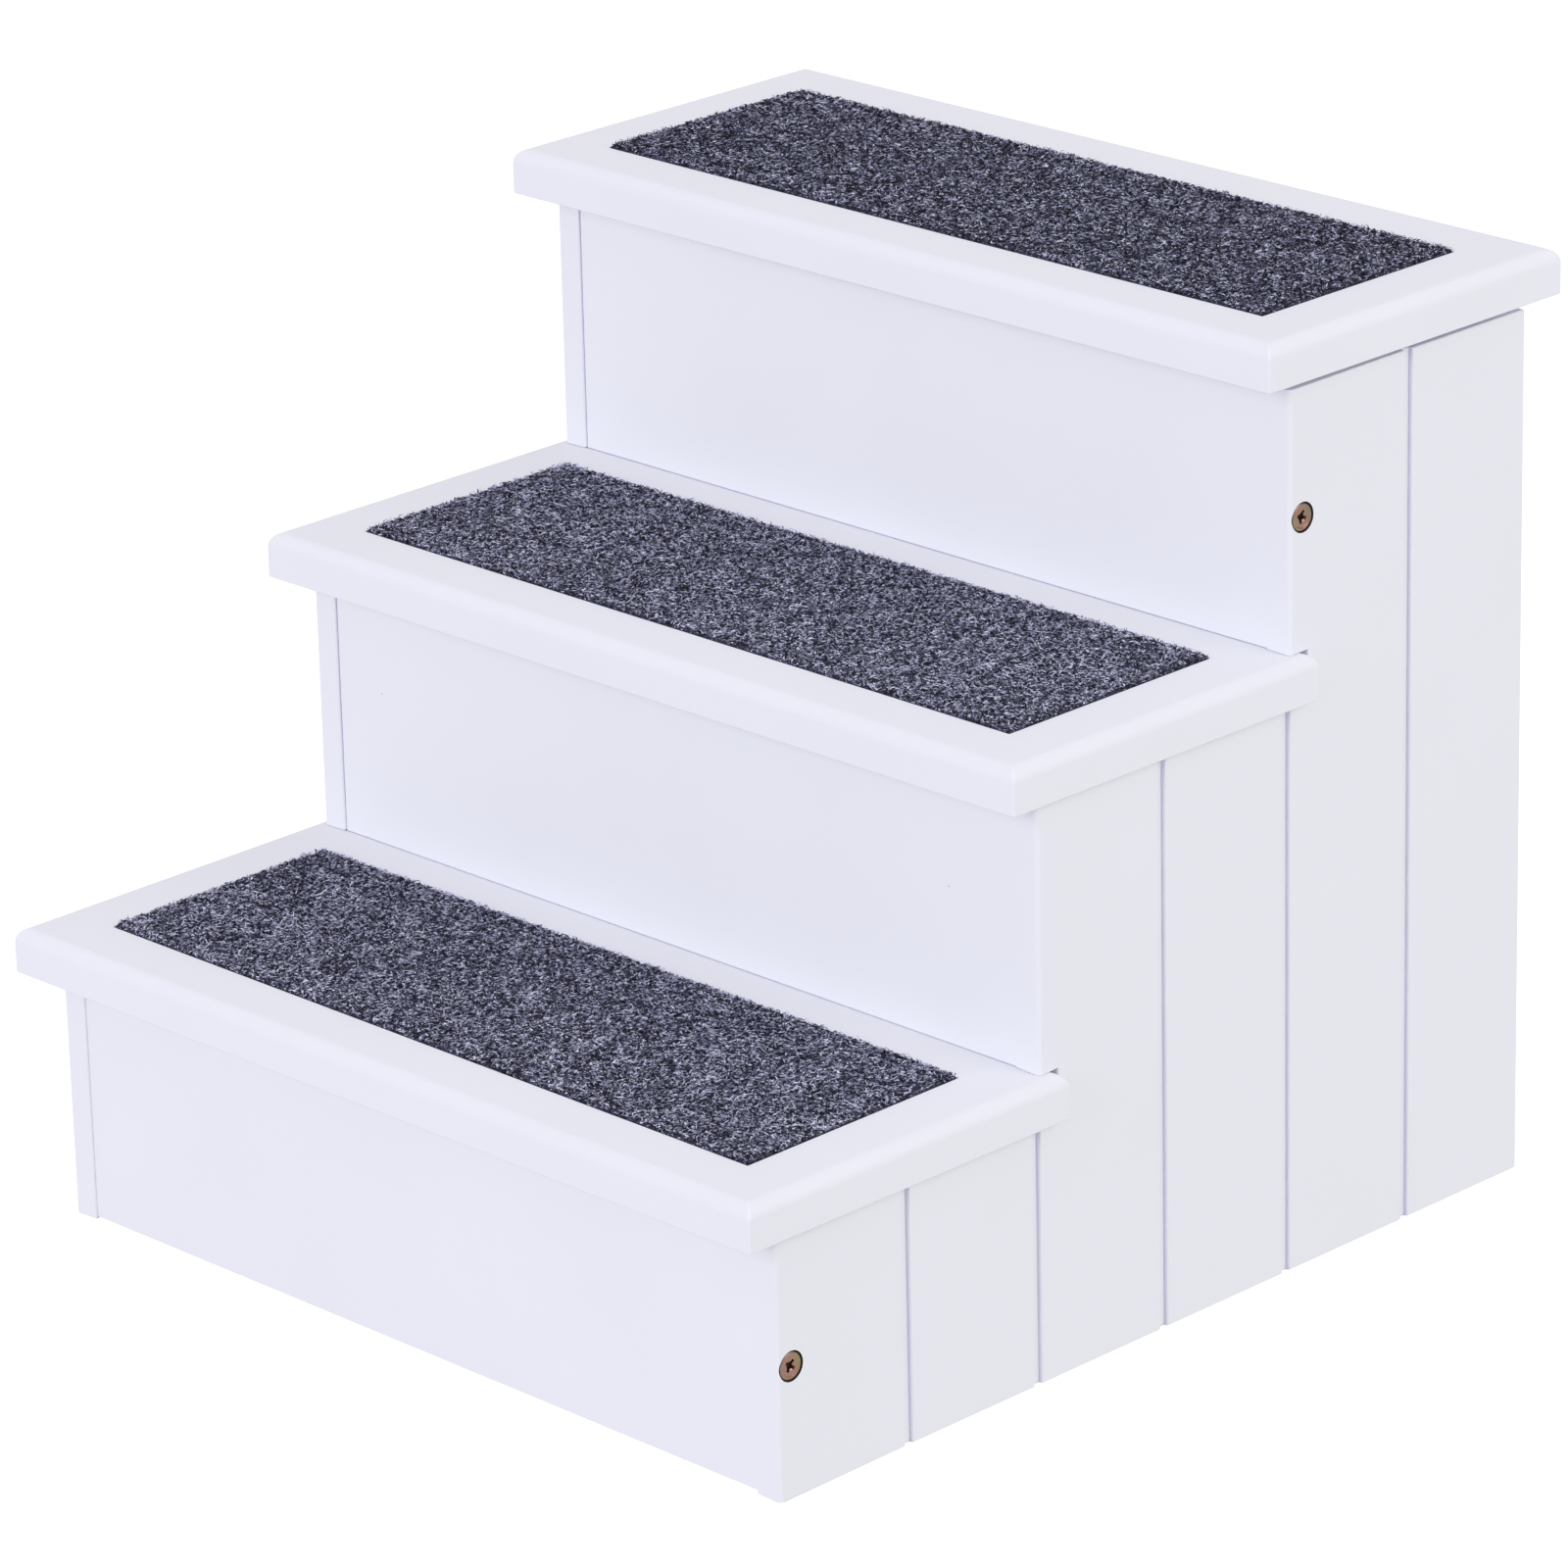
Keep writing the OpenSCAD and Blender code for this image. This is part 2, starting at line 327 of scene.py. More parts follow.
for name, around, up, away, side, colour, power in SOFT_BOXES:
    turn, rise = math.radians(around), math.radians(up)
    towards = Vector((
        math.sin(turn) * math.cos(rise), -math.cos(turn) * math.cos(rise), math.sin(rise)
    ))
    light_data = bpy.data.lights.new(name, "AREA")
    light_data.shape = "SQUARE"
    light_data.size = side
    light_data.energy = power
    light_data.color = linear(colour)[:3]
    light = new_object(name, light_data)
    light.location = AIM + towards * away
    light.rotation_mode = "QUATERNION"
    light.rotation_quaternion = (-towards).to_track_quat("-Z", "Y")
    print(name, "stands at", [round(v, 2) for v in light.location], "m")

# %% [markdown]
# ### The camera's tone curve
#
# A camera doesn't cut its highlights off, it bends them over. In the photograph every white lies
# within a few percent of the next one, and even a rounded edge that catches both boxes is hardly
# lighter than the flat beside it. Lights alone don't give that. So the picture gets a tone curve:
# straight up to the knee, then less than half as steep, until it reaches paper white. The dark
# carpets lie below the knee and stay as they are.

# %% Bend the highlights
KNEE = 0.72  # linear light
SHOULDER = 0.45  # steepness over the knee

view = bpy.context.scene.view_settings
view.view_transform = "Standard"
view.use_curve_mapping = True
view.curve_mapping.use_clip = False
bend = view.curve_mapping.curves[3]
paper_white = KNEE + (1.0 - KNEE) / SHOULDER
bend.points[0].location, bend.points[1].location = (0.0, 0.0), (paper_white, 1.0)
bend.points.new(KNEE, KNEE)
for point in bend.points:
    point.handle_type = "VECTOR"
view.curve_mapping.update()
print("paper white is reached at", round(paper_white, 3))

# %% [markdown]
# ## White satin enamel on pine
#
# The stairs are sprayed with a water based satin enamel. To the eye that is a cool, slightly
# bluish white with a soft sheen, never a mirror. Close up, two things break it: the grain of the
# pine, which stands a few hundredths of a millimetre proud after the paint has dried, and the
# faint orange peel of the spray gun. The side boards were sanded less than the treads, so their
# grain shows more. Here and there a speck of dust lies under the paint, or a pinhole lets the
# wood through.
#
# The grain is noise that is stretched along the board: about a millimetre from line to line, and
# forty times as long. It only lifts the surface, it doesn't darken it, because paint covers the
# wood's colour. Base white varies by about one percent over a hand's width.

# %% The enamel
GRAIN_WIDTH = 1.1 * MM
GRAIN_LENGTH = 45 * MM
PEEL_WIDTH = 2.2 * MM
CLOUD_WIDTH = 70 * MM
PEEL_LIFT = 0.012 * MM
NIB_SPACING = 45 * MM  # between specks of dust under the paint, in all three directions
NIB_RADII = (0.008, 0.016)  # of the flat top and of the foot, as shares of the spacing
NIB_LIFT = 0.10 * MM
PINHOLE_SPACING = 36 * MM
PINHOLE_RADII = (0.007, 0.014)


def along(axis, length, width):
    """Scales that draw a pattern out along one axis: 0 is X, 1 is Y and 2 is Z."""
    return [1 / length if i == axis else 1 / width for i in range(3)]


def white_enamel(name, grain_axis, grain_lift):
    """grain_lift is how far the grain stands proud, in metres."""
    material, tree, coordinates = new_material(name)
    grain_scales = along(grain_axis, GRAIN_LENGTH, GRAIN_WIDTH)
    grain = stretched_noise(tree, coordinates, grain_scales, 4.0, 0.62)["Fac"]
    peel = noise(tree, coordinates, PEEL_WIDTH, 2.0)["Fac"]
    cloud = noise(tree, coordinates, CLOUD_WIDTH, 3.0)["Fac"]
    nibs = dots(tree, coordinates, NIB_SPACING, NIB_RADII)
    pinholes = dots(tree, coordinates, PINHOLE_SPACING, PINHOLE_RADII)
    lifted = bump(tree, grain, grain_lift)
    peeled = bump(tree, peel, PEEL_LIFT, lifted)
    white = ramp(tree, cloud, [(0.3, "#E4E4EB"), (0.7, "#E7E7EE")])
    close_material(tree, {
        "Base Color": mixed(tree, pinholes, white, linear("#A79C94")),
        "Roughness": remap(tree, grain, (0.3, 0.7), (0.46, 0.53)),
        "IOR": 1.47,
        "Normal": bump(tree, nibs, NIB_LIFT, peeled),
    })
    return material


enamel_wide = white_enamel("satin_enamel_on_wide_boards", 0, 0.010 * MM)
enamel_upright = white_enamel("satin_enamel_on_upright_boards", 2, 0.022 * MM)
print("enamels:", enamel_wide.name, enamel_upright.name)

# %% [markdown]
# ## Meshes from outlines
#
# A tread is a block whose edges are rounded, with a sunk bed in its top. Here it is skinned:
# closed outlines are laid one over another, up the side, round the edge, across the top, over
# the rim of the bed and down to its floor, and each is joined to the next by a band of faces.
# That gives even faces, a closed surface, and full control of each rounding.

# %% Outlines and skins
CORNER_PARTS = 6


def rounded_outline(low, high, radius, inset, height):
    """A rectangle with rounded corners, inset from low and high, at one height."""
    r = max(radius - inset, 0.0)
    x0, y0, x1, y1 = low[0] + inset, low[1] + inset, high[0] - inset, high[1] - inset
    outline = []
    for x, y, start in (
        (x1 - r, y1 - r, 0), (x0 + r, y1 - r, 90), (x0 + r, y0 + r, 180), (x1 - r, y0 + r, 270),
    ):
        for part in range(CORNER_PARTS + 1):
            turn = math.radians(start + 90 * part / CORNER_PARTS)
            outline.append((x + r * math.cos(turn), y + r * math.sin(turn), height))
    return outline


def quarter(parts):
    """(sideways, up) of a quarter round from its side to its top, both from 0 to 1."""
    turns = [math.radians(90 * part / parts) for part in range(parts + 1)]
    return [(1 - math.cos(t), math.sin(t)) for t in turns]


def skin(name, outlines, material):
    """Joins outlines with as many points each by bands of faces, and closes both ends."""
    mesh = bpy.data.meshes.new(name)
    shape = bmesh.new()
    rings = [[shape.verts.new(point) for point in outline] for outline in outlines]
    count = len(rings[0])
    for lower, upper in zip(rings, rings[1:]):
        for i in range(count):
            j = (i + 1) % count
            shape.faces.new((lower[i], lower[j], upper[j], upper[i]))
    shape.faces.new(rings[0])
    shape.faces.new(rings[-1])
    bmesh.ops.remove_doubles(shape, verts=shape.verts, dist=0.001 * MM)
    bmesh.ops.recalc_face_normals(shape, faces=shape.faces)
    shape.to_mesh(mesh)
    shape.free()
    mesh.materials.append(material)
    return new_object(name, mesh)


def bake(piece):
    """Turns a piece's modifiers into plain mesh."""
    bpy.context.view_layer.update()
    evaluated = piece.evaluated_get(bpy.context.evaluated_depsgraph_get())
    mesh = bpy.data.meshes.new_from_object(evaluated)
    piece.modifiers.clear()
    old = piece.data
    piece.data = mesh
    bpy.data.meshes.remove(old)
    mesh.name = piece.name
    return piece


def settle(piece, smooth_below=40.0):
    """Shades the roundings smooth and the flats flat, for good."""
    piece.data.shade_smooth()
    piece.data.set_sharp_from_angle(angle=math.radians(smooth_below))
    flats = piece.modifiers.new("flat_faces", "WEIGHTED_NORMAL")
    flats.keep_sharp = True
    flats.weight = 100
    return bake(piece)


# %% [markdown]
# ## Treads
#
# Each tread is one board. Its four top edges have the same generous rounding, cut by a router
# that ran straight off the ends, so the roundings meet in a mitre over each upright corner. The
# corners themselves and the lower edges are only eased. The bed for the carpet is routed 3 mm
# deep, and its rim is just broken with sandpaper: in the photograph it is a thin bright line
# round the felt.

# %% Make the treads


def tread_outline(low, high, inset, height):
    """An outline whose corners keep one radius, however far it is inset."""
    return rounded_outline(low, high, TREAD_CORNER + inset, inset, height)


def make_tread(step):
    low, high = box_of(f"tread_{step}")
    carpet_low, carpet_high = box_of(f"carpet_{step}")
    bed_low = [v - BED_GAP for v in carpet_low[:2]]
    bed_high = [v + BED_GAP for v in carpet_high[:2]]
    foot, top = low[2], high[2]
    outlines = [
        tread_outline(low, high, TREAD_FOOT * (1 - up), foot + TREAD_FOOT * side)
        for side, up in quarter(4)
    ]
    outlines += [
        tread_outline(low, high, TREAD_EDGE * side, top - TREAD_EDGE * (1 - up))
        for side, up in quarter(8)
    ]
    outlines += [
        rounded_outline(bed_low, bed_high, 0.0, -BED_EDGE * (1 - up), top - BED_EDGE * side)
        for side, up in quarter(3)
    ]
    outlines.append(rounded_outline(bed_low, bed_high, 0.0, 0.0, top - BED_DEPTH))
    return settle(skin(f"tread_{step}_painted", outlines, enamel_wide))


treads = [make_tread(step) for step in STEPS]
print("treads:", [len(piece.data.polygons) for piece in treads], "faces")

# %% [markdown]
# ## Boards, risers and cleats
#
# These pieces already have the right shape as solids, with their tongues, grooves, notches and
# screw holes. What they lack is the small rounding that sanding and paint leave on every edge.
# A solid that comes from CAD is made of loose triangles, so a copy is merged first and its flat
# faces are joined. Then its sharp outer edges are found by their angle and their length, and
# bevelled. The short edges round a drilled hole are left out: nobody sands those, and a bevel
# that has to spare them would shrink to nothing everywhere else.

# %% Soften a copy of a solid
SHORTEST_EASED = 3.0 * MM
LEAST_TURN = 40  # degrees between the faces of an eased edge


def softened(node, name, edge, material):
    """A copy of a solid with every long outer edge rounded by edge, in metres."""
    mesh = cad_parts[node].data.copy()
    mesh.name = name
    shape = bmesh.new()
    shape.from_mesh(mesh)
    bmesh.ops.remove_doubles(shape, verts=shape.verts, dist=WELD)
    bmesh.ops.dissolve_limit(
        shape, angle_limit=math.radians(0.5), verts=shape.verts, edges=shape.edges
    )
    eased = [
        line for line in shape.edges
        if line.is_convex
        and line.calc_face_angle() > math.radians(LEAST_TURN)
        and line.calc_length() > SHORTEST_EASED
    ]
    bmesh.ops.bevel(
        shape, geom=eased, offset=edge, offset_type="OFFSET", segments=3, profile=0.5,
        affect="EDGES", clamp_overlap=False,
    )
    shape.to_mesh(mesh)
    shape.free()
    mesh.materials.clear()
    mesh.materials.append(material)
    for kind in ("custom_normal", "sharp_face", "sharp_edge"):
        if kind in mesh.attributes:
            mesh.attributes.remove(mesh.attributes[kind])
    return settle(new_object(name, mesh))


risers = [
    softened(f"riser_{step}", f"riser_{step}_painted", RISER_EDGE, enamel_wide)
    for step in STEPS
]
side_boards = [
    softened(f"{side}_board_{board}", f"{side}_board_{board}_painted", BOARD_EDGE, enamel_upright)
    for side, _ in SIDES
    for board in BOARDS
]
print("risers:", [len(p.data.polygons) for p in risers])
print("side boards:", [len(p.data.polygons) for p in side_boards])

# %% [markdown]
# ## Bare pine
#
# The cleats and battens inside are planed pine, left bare, as nobody sees them from the front.
# Softwood has bands of pale early wood and darker, harder late wood. A long board shows them as
# lines along its length, a few millimetres apart. Rings are drawn round an axis that runs
# through the tree's heart, well outside the piece, and bent a little by noise.

# %% The pine
RING_WIDTH = 3.2 * MM
RING_BEND = 12 * MM
BEND_LENGTH, BEND_WIDTH = 260 * MM, 30 * MM
PORE_LENGTH, PORE_WIDTH = 18 * MM, 0.5 * MM
PORE_WEIGHT = 0.35  # of the pores against the rings
PINE_LIFT = 0.03 * MM
HEART_OFFSET = (0.055, 0.0, 0.04)  # from the piece to the middle of the tree, in metres


def bare_pine(name, grain_axis):
    material, tree, coordinates = new_material(name)
    bend_scales = along(grain_axis, BEND_LENGTH, BEND_WIDTH)
    pore_scales = along(grain_axis, PORE_LENGTH, PORE_WIDTH)
    bend = stretched_noise(tree, coordinates, bend_scales, 2.0)["Color"]
    bent = vector_math_of(tree, "MULTIPLY_ADD", bend, [RING_BEND] * 3, coordinates)
    across = add(tree, "ShaderNodeMapping", None, {
        "Vector": bent,
        "Location": HEART_OFFSET,
        "Scale": [0.0 if i == grain_axis else 1.0 for i in range(3)],
    })
    from_heart = vector_math_of(tree, "LENGTH", across.outputs["Vector"])
    ring = remap(tree, math_of(tree, "PINGPONG", from_heart, RING_WIDTH), (0.0, RING_WIDTH))
    pores = stretched_noise(tree, coordinates, pore_scales, 3.0)["Fac"]
    wood = math_of(tree, "MULTIPLY_ADD", pores, PORE_WEIGHT, ring)
    close_material(tree, {
        "Base Color": ramp(tree, wood, [
            (0.15, "#E9D2A6"), (0.75, "#DFC08C"), (0.852, "#C99A5F"), (1.0, "#B9884F"),
        ]),
        "Roughness": 0.68,
        "IOR": 1.5,
        "Normal": bump(tree, wood, PINE_LIFT),
    })
    return material


pine_lengthwise = bare_pine("bare_pine_along_the_side", 1)
dowel_wood = bare_pine("dowel_wood_across_the_stairs", 0)
cleats = [
    softened(f"{side}_cleat_{step}", f"{side}_cleat_{step}_planed", CLEAT_EDGE, pine_lengthwise)
    for side, _ in SIDES
    for step in STEPS
]
battens = [
    softened(f"{side}_batten", f"{side}_batten_planed", CLEAT_EDGE, pine_lengthwise)
    for side, _ in SIDES
]
print("cleats and battens:", len(cleats) + len(battens))

# %% [markdown]
# ## Felt
#
# The carpets are needled felt: polyester fibres in charcoal, grey and a pale blue grey, punched
# into a mat until they hold. There is no weave. Close up it is a tangle of short curly fibres,
# light ones lying over dark ones. From a step away it is a flecked charcoal.
#
# Two things make it here. A thin slab is the mat itself, and its material has the flecks and
# the hollows between them, with the hollows painted darkest as painted shade. Over it lie nearly
# eighty thousand real fibres, which catch the light and make the edge of the carpet fuzzy.

# %% The mat and fibre materials
FLECK_WIDTH = 1.4 * MM
HOLLOW_DEPTH = 0.6 * MM
# what makes a fibre light or dark: its own shade, and the noise over the carpet
OWN_WEIGHT, SHADE_OFFSET = 1.15, -1.225
CLUMP_WIDTH, CLUMP_WEIGHT = 1.5 * MM, 1.6
PATCH_WIDTH, PATCH_WEIGHT = 8.0 * MM, 0.6

felt_mat, tree, coordinates = new_material("needled_polyester_felt_mat")
fleck_and_hollow_shade = noise(tree, coordinates, FLECK_WIDTH, 4.0, 0.7)["Fac"]
close_material(tree, {
    # painted shade: the noise's low parts, which the bump sinks as hollows, get the darkest colour
    "Base Color": ramp(tree, fleck_and_hollow_shade, [(0.38, "#181820"), (0.52, "#343440"), (0.66, "#5C5C6C")]),
    "Roughness": 0.95,
    "Specular IOR Level": 0.15,
    "Normal": bump(tree, fleck_and_hollow_shade, HOLLOW_DEPTH),
})

felt_fibre, tree, coordinates = new_material("needled_polyester_felt_fibre")
own_shade = add(tree, "ShaderNodeAttribute", {"attribute_name": "fibre_shade"}).outputs["Fac"]
shade = math_of(tree, "MULTIPLY_ADD", own_shade, OWN_WEIGHT, SHADE_OFFSET)
for width, weight in ((CLUMP_WIDTH, CLUMP_WEIGHT), (PATCH_WIDTH, PATCH_WEIGHT)):
    patches = noise(tree, coordinates, width, 2.0)["Fac"]
    shade = math_of(tree, "MULTIPLY_ADD", patches, weight, shade)
close_material(tree, {
    "Base Color": ramp(tree, shade, [
        (0.05, "#16161C"), (0.32, "#3F3F4D"), (0.50, "#727287"), (0.72, "#B0B0C6"),
        (1.0, "#ECECF6"),
    ]),
    "Roughness": 0.8,
    "Specular IOR Level": 0.15,
})
print("felt:", felt_mat.name, felt_fibre.name)

# %% [markdown]
# ### The pile as Geometry Nodes
#
# Hair curves would be quicker to make, but the export wants mesh, so each fibre is a thin tube.
# One tree grows all the layers from named sizes: it strews points, makes a few kinds of fibre,
# and lays one on each point. These helpers open a tree, end it, and run it on a mesh.

# %% Helpers for geometry trees
SOCKET_KINDS = {float: "NodeSocketFloat", int: "NodeSocketInt", tuple: "NodeSocketVector"}


def open_tree(name, inputs):
    """A geometry tree with named inputs and their defaults."""
    tree = bpy.data.node_groups.new(name, "GeometryNodeTree")
    tree.interface.new_socket("Geometry", in_out="INPUT", socket_type="NodeSocketGeometry")
    for label, default in inputs.items():
        kind = SOCKET_KINDS[type(default)]
        socket = tree.interface.new_socket(label, in_out="INPUT", socket_type=kind)
        socket.default_value = default
    tree.interface.new_socket("Geometry", in_out="OUTPUT", socket_type="NodeSocketGeometry")
    return tree, add(tree, "NodeGroupInput").outputs


def close_tree(tree, geometry, material):
    """Makes copies real, sets the material and ends the tree."""
    real = add(tree, "GeometryNodeRealizeInstances", None, {"Geometry": geometry})
    painted = add(tree, "GeometryNodeSetMaterial", None, {
        "Geometry": real.outputs["Geometry"], "Material": material,
    })
    add(tree, "NodeGroupOutput", None, {"Geometry": painted.outputs["Geometry"]})


def grow(name, source, tree, values):
    """Runs a tree on a source mesh and returns the result as a plain piece."""
    maker = new_object(name, source)
    modifier = maker.modifiers.new("maker", "NODES")
    modifier.node_group = tree
    for item in tree.interface.items_tree:
        if item.item_type == "SOCKET" and item.in_out == "INPUT" and item.name in values:
            modifier[item.identifier] = values[item.name]
    return bake(maker)


# %% [markdown]
# Fibres grow from the mat's upper side and its rounded edges, not from the part that lies in the
# bed. So the tree strews its points only on faces over the carpet's low corner.

# %% Strew the points
pile_tree, given = open_tree("felt_pile", {
    "Fibres per square metre": 8.0e5,
    "Fibre length": 2.6 * MM,
    "Fibre thickness": 0.4 * MM,
    "Pile height": 1.0 * MM,
    "Parts": 2,
    "Shade": 0.0,
    "Seed": 1,
    "Low corner": (0.0, 0.0, 0.0),
    "High corner": (0.0, 0.0, 0.0),
})
own_place = add(pile_tree, "GeometryNodeInputPosition").outputs["Position"]
height = add(pile_tree, "ShaderNodeSeparateXYZ", None, {"Vector": own_place}).outputs["Z"]
lowest = add(pile_tree, "ShaderNodeSeparateXYZ", None, {"Vector": given["Low corner"]})
over_the_wood = math_of(pile_tree, "GREATER_THAN", height, lowest.outputs["Z"])
strewn = add(pile_tree, "GeometryNodeDistributePointsOnFaces", None, {
    "Mesh": given["Geometry"],
    "Selection": over_the_wood,
    "Density": given["Fibres per square metre"],
    "Seed": given["Seed"],
})
print("pile tree:", len(pile_tree.interface.items_tree), "sockets")

# %% [markdown]
# A fibre is a spindle: a short bent curve with a three sided tube round it that narrows to
# nothing at both ends. The curve is cut into its few straight parts, and the ends are merged to
# points. That leaves only six to twelve triangles, so tens of thousands of fibres stay light.

# %% Make the kinds of fibre
# three kinds: where the middle lies sideways, as a share of the length, and where the middle and
# the end lie upwards, as shares of the pile's height
FIBRE_KINDS = ((0.30, 1.0, 0.0), (0.60, 0.7, 0.2), (0.15, 0.5, 0.7))
MIDDLE_SHARE, END_SHARE = 0.5, 0.9  # where they lie along the fibre
FINE_PARTS = 8  # of the bent curve, before it is cut into straight parts

section = add(pile_tree, "GeometryNodeCurvePrimitiveCircle", None, {
    "Resolution": 3, "Radius": math_of(pile_tree, "MULTIPLY", given["Fibre thickness"], 0.5),
})
# 4 f (1 - f) for a share f along the fibre: nothing at both ends and 1 in the middle
along_fibre = add(pile_tree, "GeometryNodeSplineParameter").outputs["Factor"]
four_shares = math_of(pile_tree, "MULTIPLY", along_fibre, 4.0)
spindle = math_of(
    pile_tree, "MULTIPLY", along_fibre, math_of(pile_tree, "SUBTRACT", 4.0, four_shares)
)
fibre_kinds = add(pile_tree, "GeometryNodeJoinGeometry")


def fibre_place(forward, sideways, up):
    """A place on a fibre, from shares of its length and of the pile's height."""
    return add(pile_tree, "ShaderNodeCombineXYZ", None, {
        "X": math_of(pile_tree, "MULTIPLY", given["Fibre length"], forward),
        "Y": math_of(pile_tree, "MULTIPLY", given["Fibre length"], sideways),
        "Z": math_of(pile_tree, "MULTIPLY", given["Pile height"], up),
    }).outputs["Vector"]


for sideways, middle_up, end_up in FIBRE_KINDS:
    bent_line = add(pile_tree, "GeometryNodeCurveQuadraticBezier", None, {
        "Resolution": FINE_PARTS,
        "Start": (0.0, 0.0, 0.0),
        "Middle": fibre_place(MIDDLE_SHARE, sideways, middle_up),
        "End": fibre_place(END_SHARE, 0.0, end_up),
    })
    straight_parts = add(pile_tree, "GeometryNodeResampleCurve", {"mode": "COUNT"}, {
        "Curve": bent_line.outputs["Curve"],
        "Count": math_of(pile_tree, "ADD", given["Parts"], 1.0),
    })
    tube = add(pile_tree, "GeometryNodeCurveToMesh", None, {
        "Curve": straight_parts.outputs["Curve"],
        "Profile Curve": section.outputs["Curve"],
        "Scale": spindle,
    })
    fibre = add(pile_tree, "GeometryNodeMergeByDistance", None, {
        "Geometry": tube.outputs["Mesh"], "Distance": WELD,
    })
    alone = add(pile_tree, "GeometryNodeGeometryToInstance", None, {
        "Geometry": fibre.outputs["Geometry"],
    })
    pile_tree.links.new(alone.outputs["Instances"], fibre_kinds.inputs["Geometry"])
print("kinds of fibre:", len(FIBRE_KINDS))

# %% [markdown]
# Turn, tilt, size and shade of each fibre are random with fixed seeds. When the copies are real
# mesh, a noise pulls every fibre out of shape, so that no two are alike, and a clamp keeps them
# out of the wood around the carpet.

# %% Lay and tangle the fibres
FIBRE_TILT = 0.25  # radians, to either side
LEAST_STRETCH, MOST_STRETCH = (0.5, 0.6, 0.4), (1.3, 1.2, 1.5)
TANGLE_WIDTH = 2.2 * MM
TANGLE_PULL = (3.0 * MM, 3.0 * MM, 0.9 * MM)

turn = add(pile_tree, "FunctionNodeRandomValue", {"data_type": "FLOAT_VECTOR"}, {
    0: (-FIBRE_TILT, -FIBRE_TILT, 0.0), 1: (FIBRE_TILT, FIBRE_TILT, 2 * math.pi), "Seed": 11,
})
stretch = add(pile_tree, "FunctionNodeRandomValue", {"data_type": "FLOAT_VECTOR"}, {
    0: LEAST_STRETCH, 1: MOST_STRETCH, "Seed": 12,
})
which = add(pile_tree, "FunctionNodeRandomValue", {"data_type": "INT"}, {
    4: 0, 5: len(FIBRE_KINDS) - 1, "Seed": 13,
})
settled = add(pile_tree, "FunctionNodeRotateRotation", {"rotation_space": "LOCAL"}, {
    "Rotation": strewn.outputs["Rotation"], "Rotate By": turn.outputs[0],
})
copies = add(pile_tree, "GeometryNodeInstanceOnPoints", None, {
    "Points": strewn.outputs["Points"],
    "Instance": fibre_kinds.outputs["Geometry"],
    "Pick Instance": True,
    "Instance Index": which.outputs[2],
    "Rotation": settled.outputs["Rotation"],
    "Scale": stretch.outputs[0],
})
random_shade = add(pile_tree, "FunctionNodeRandomValue", {"data_type": "FLOAT"}, {"Seed": 14})
shaded = add(pile_tree, "GeometryNodeStoreNamedAttribute", {
    "data_type": "FLOAT", "domain": "INSTANCE",
}, {
    "Geometry": copies.outputs["Instances"],
    "Name": "fibre_shade",
    "Value": math_of(pile_tree, "ADD", random_shade.outputs[1], given["Shade"]),
})
loose = add(pile_tree, "GeometryNodeRealizeInstances", None, {
    "Geometry": shaded.outputs["Geometry"],
})
tangle = noise(pile_tree, own_place, TANGLE_WIDTH, 1.0)["Color"]
pull = vector_math_of(pile_tree, "SUBTRACT", tangle, (0.5, 0.5, 0.5))
pulled = vector_math_of(pile_tree, "MULTIPLY_ADD", pull, TANGLE_PULL, own_place)
above = vector_math_of(pile_tree, "MAXIMUM", pulled, given["Low corner"])
tangled = add(pile_tree, "GeometryNodeSetPosition", None, {
    "Geometry": loose.outputs["Geometry"],
    "Position": vector_math_of(pile_tree, "MINIMUM", above, given["High corner"]),
})
close_tree(pile_tree, tangled.outputs["Geometry"], felt_fibre)
print("pile tree:", len(pile_tree.nodes), "nodes")

# %% [markdown]
# ### Cut and lay the carpets
#
# The mat lies in its bed and stands about a millimetre proud of the wood, with a rounded upper
# edge, as a soft thing does. Two layers of short stout fibres lie flat on it and make the flecks.
# A third layer has fewer, longer and thinner ones, which curl up over the others and make the
# fuzz along the edges. Layers are pieces of their own, so that each stays under two hundred
# thousand triangles.

# %% Mats and fibres
MAT_EDGE = 1.2 * MM
MAT_CORNER = 0.5 * MM
MAT_RISE = 0.9 * MM  # over the tread
PILE_FOOT = 0.05 * MM  # over the tread
PILE_TOP = 2.4 * MM  # over the tread
PILE_REACH = 0.35 * MM  # how far fibres hang over the wood
PAINTED_SHADE_BY_STEP = (0.0, 0.0, -0.12)  # painted shade: the top carpet's fibres are made darker, as if less light fell on it
# fibres in a layer, then the length, thickness and height of one, and how many straight parts
# it is made of
LAYERS = (
    (31500, 2.6 * MM, 0.43 * MM, 0.6 * MM, 2),
    (31500, 2.6 * MM, 0.43 * MM, 0.6 * MM, 2),
    (15500, 4.2 * MM, 0.26 * MM, 1.2 * MM, 3),
)


def make_mat(step):
    low, high = box_of(f"carpet_{step}")
    top = box_of(f"tread_{step}")[1][2] + MAT_RISE
    outlines = [rounded_outline(low, high, MAT_CORNER, 0.0, low[2])]
    outlines += [
        rounded_outline(low, high, MAT_CORNER, MAT_EDGE * side, top - MAT_EDGE * (1 - up))
        for side, up in quarter(4)
    ]
    return settle(skin(f"carpet_{step}_mat", outlines, felt_mat))


